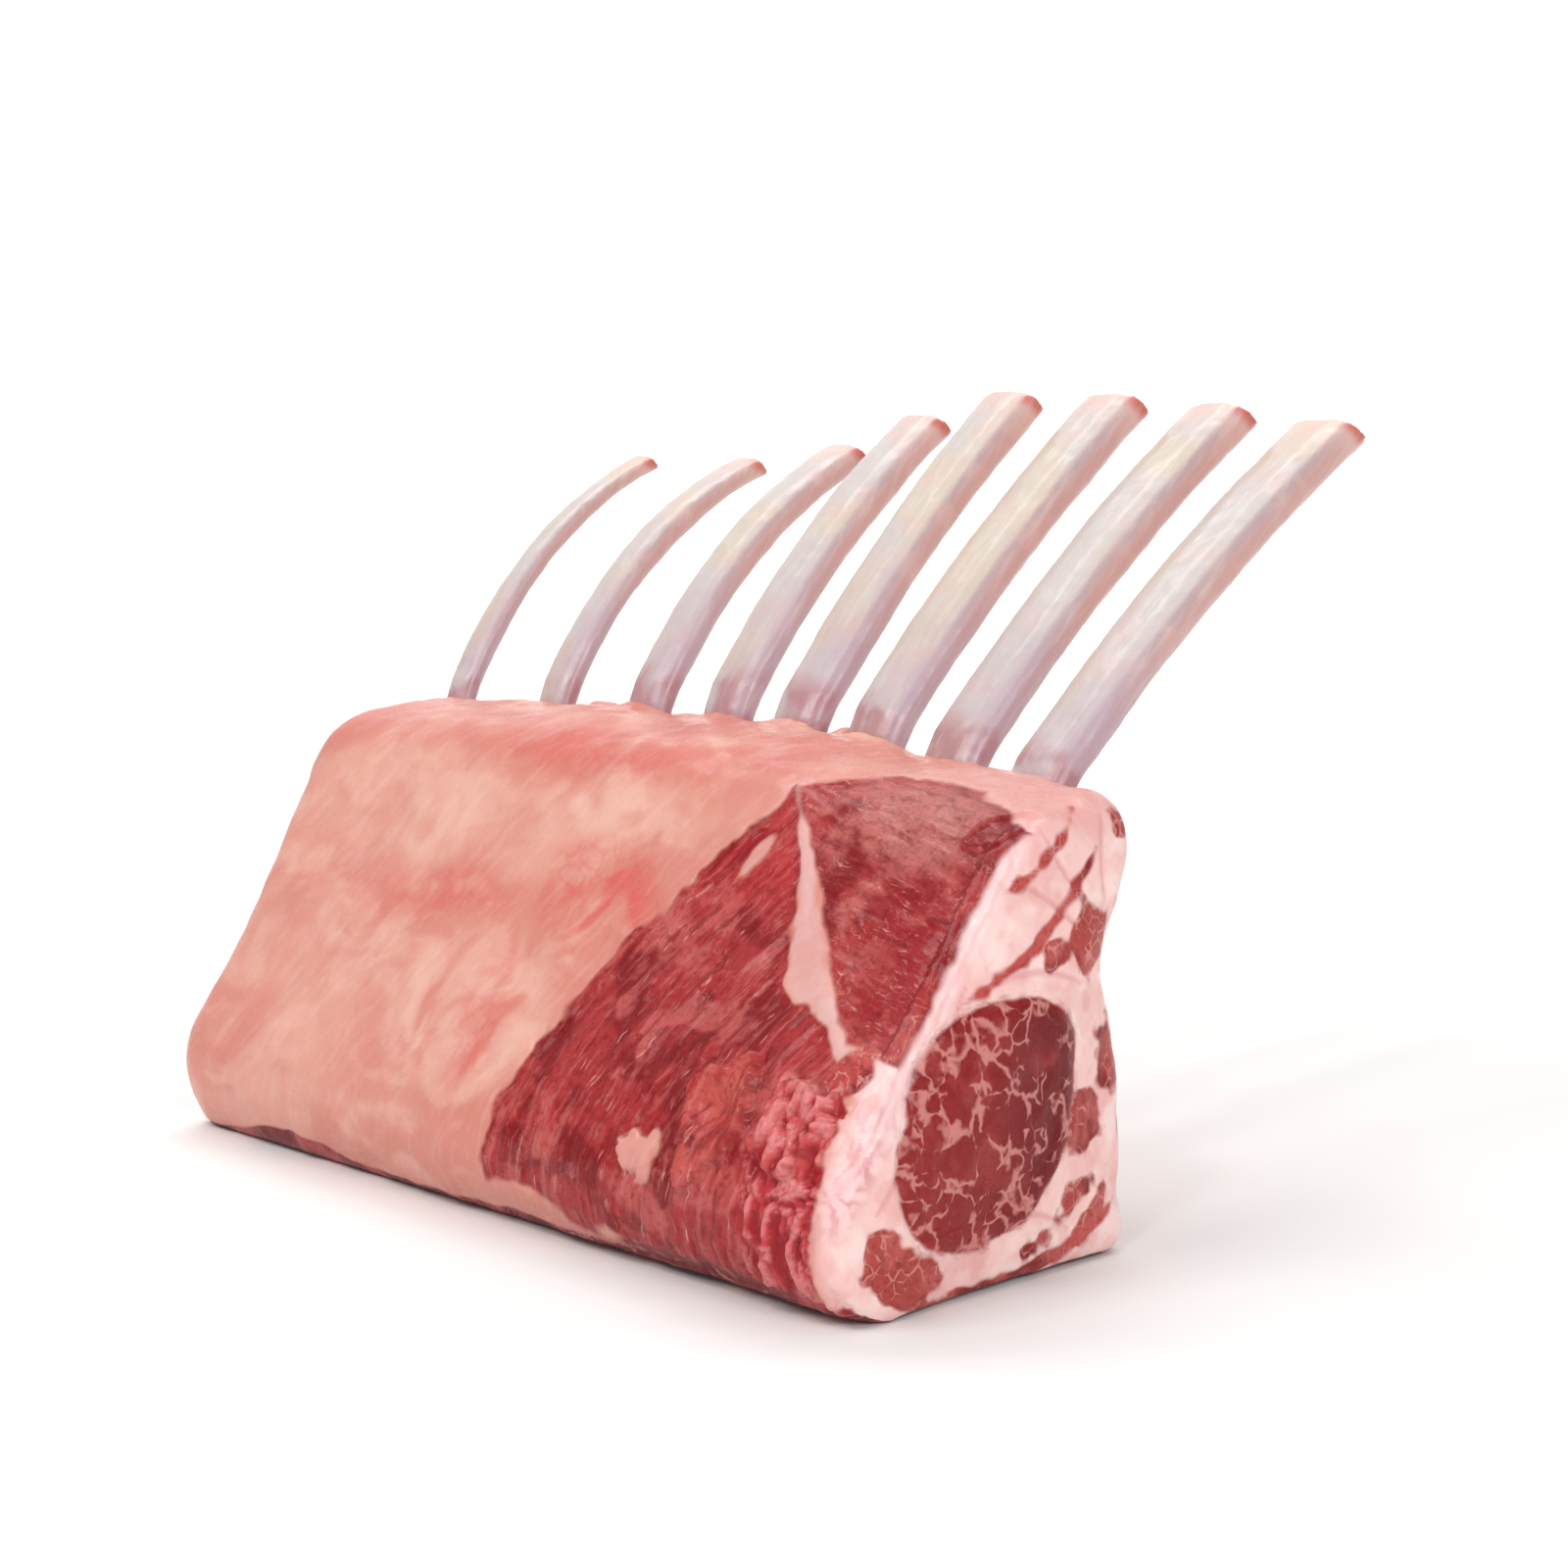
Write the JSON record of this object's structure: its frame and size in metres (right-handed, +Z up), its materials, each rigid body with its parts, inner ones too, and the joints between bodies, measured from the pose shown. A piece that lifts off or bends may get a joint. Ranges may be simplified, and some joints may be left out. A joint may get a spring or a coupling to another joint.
{
  "type": "rack of lamb",
  "caption": "Raw frenched rack of lamb, cap on: long bare rib bones lean out of a block of loin with a fat side, a shoulder cap muscle and a round eye at the cut end.",
  "frame": {"origin": "middle of the underside of the bounding box, on the surface the rack stands on", "axes": "+X along the rack from its loin end to its shoulder end, +Y the way the ribs lean, so the fat side faces -Y, +Z up"},
  "size_m": [0.2278, 0.1846, 0.1746],
  "materials": {
    "fat": "moist raw lamb fat, pale pink with cream patches",
    "lean": "moist raw lean lamb with white marbling",
    "bone": "scraped rib bone, pale cream with a thin pink film"
  },
  "bodies": {
    "root": {"loin_block": "fat", "eye_muscle": "lean", "cap_muscle": "lean", "rib_1": "bone", "rib_2": "bone", "rib_3": "bone", "rib_4": "bone", "rib_5": "bone", "rib_6": "bone", "rib_7": "bone", "rib_8": "bone"}
  },
  "joints": []
}
